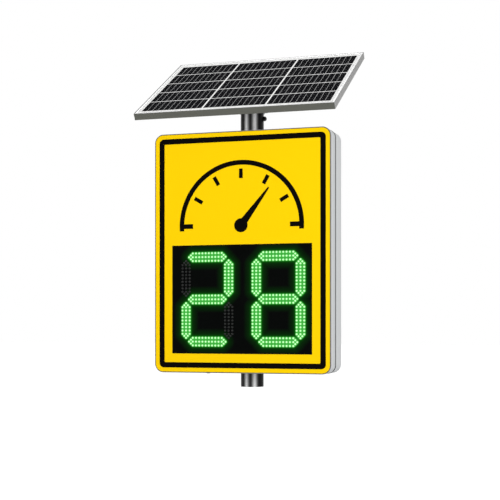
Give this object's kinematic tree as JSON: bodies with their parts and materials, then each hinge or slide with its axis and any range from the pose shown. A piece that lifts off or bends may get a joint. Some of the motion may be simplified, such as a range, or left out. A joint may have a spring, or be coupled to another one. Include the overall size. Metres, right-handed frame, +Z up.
{
  "type": "radar speed display sign",
  "caption": "Solar powered speed display sign: a flat housing with a bordered face and a two-digit lamp window, clamped to a round mast that carries a tilting solar panel.",
  "frame": {"origin": "centre of the mast's open lower end, on the mast's axis", "axes": "+Z up along the mast; the sign's face looks along -Y; +X is to the right of someone who reads it"},
  "size_m": [0.66, 0.4354, 1.1239],
  "materials": {
    "face_sheet": "satin",
    "black_film": "satin",
    "seal_rubber": "matte",
    "housing_paint": "satin",
    "mask_black": "matte",
    "lamp_lit": "satin",
    "lamp_dark": "satin",
    "circuit_board": "satin",
    "spacer_nylon": "matte",
    "radar_white": "matte",
    "inner_metal": "satin",
    "battery_case": "matte",
    "strap_steel": "satin",
    "controller_case": "matte",
    "fitting_black": "matte",
    "clamp_casting": "satin",
    "band_steel": "satin",
    "fastener_steel": "satin",
    "mast_steel": "satin",
    "bracket_steel": "satin",
    "frame_aluminium": "satin",
    "panel_glass": "polished",
    "cell_silicon": "satin",
    "sheet_white": "matte"
  },
  "bodies": {
    "mast_and_head": {"sign_face": "face_sheet", "border_stripe": "black_film", "dial_symbol": "black_film", "face_gasket": "seal_rubber", "front_shell": "housing_paint", "seam_seal": "seal_rubber", "rear_shell": "housing_paint", "display_mask": "mask_black", "lamps_tens_lit": "lamp_lit", "lamps_tens_dark": "lamp_dark", "lamps_units_lit": "lamp_lit", "tens_board": "circuit_board", "units_board": "circuit_board", "board_spacers": "spacer_nylon", "radar_sensor": "radar_white", "radar_bracket": "inner_metal", "rail_upper": "inner_metal", "rail_lower": "inner_metal", "equipment_plate": "inner_metal", "plate_spacers": "spacer_nylon", "battery": "battery_case", "battery_strap": "strap_steel", "charge_controller": "controller_case", "control_board": "circuit_board", "control_spacers": "spacer_nylon", "mask_screws": "fastener_steel", "shell_screws": "fastener_steel", "shell_nuts": "fastener_steel", "screw_sleeves": "inner_metal", "cable_gland": "fitting_black", "vent_plug": "fitting_black", "saddle_upper": "clamp_casting", "saddle_lower": "clamp_casting", "saddle_bolts": "fastener_steel", "saddle_nuts": "fastener_steel", "band_upper": "band_steel", "band_lower": "band_steel", "clamp_bolts": "fastener_steel", "mast": "mast_steel", "set_screws": "fastener_steel"},
    "swivel_yoke": {"spigot": "bracket_steel", "yoke": "bracket_steel", "yoke_screws": "fastener_steel"},
    "panel": {"cradle": "bracket_steel", "pivot_bolt": "fastener_steel", "pivot_nut": "fastener_steel", "lock_bolts": "fastener_steel", "lock_nuts": "fastener_steel", "cross_bar_front": "frame_aluminium", "cross_bar_rear": "frame_aluminium", "panel_bolts": "fastener_steel", "panel_nuts": "fastener_steel", "frame_front": "frame_aluminium", "frame_rear": "frame_aluminium", "frame_left": "frame_aluminium", "frame_right": "frame_aluminium", "panel_glass": "panel_glass", "solar_cells": "cell_silicon", "back_sheet": "sheet_white", "junction_box": "fitting_black"}
  },
  "joints": [
    {"name": "panel_swivel", "type": "hinge", "parent": "mast_and_head", "child": "swivel_yoke", "pos_m": [0, 0, 0.898], "axis": [0, 0, 1], "continuous": true},
    {"name": "panel_tilt", "type": "hinge", "parent": "swivel_yoke", "child": "panel", "pos_m": [0, 0, 0.938], "axis": [1, 0, 0], "range_deg": [-30, 10]}
  ]
}
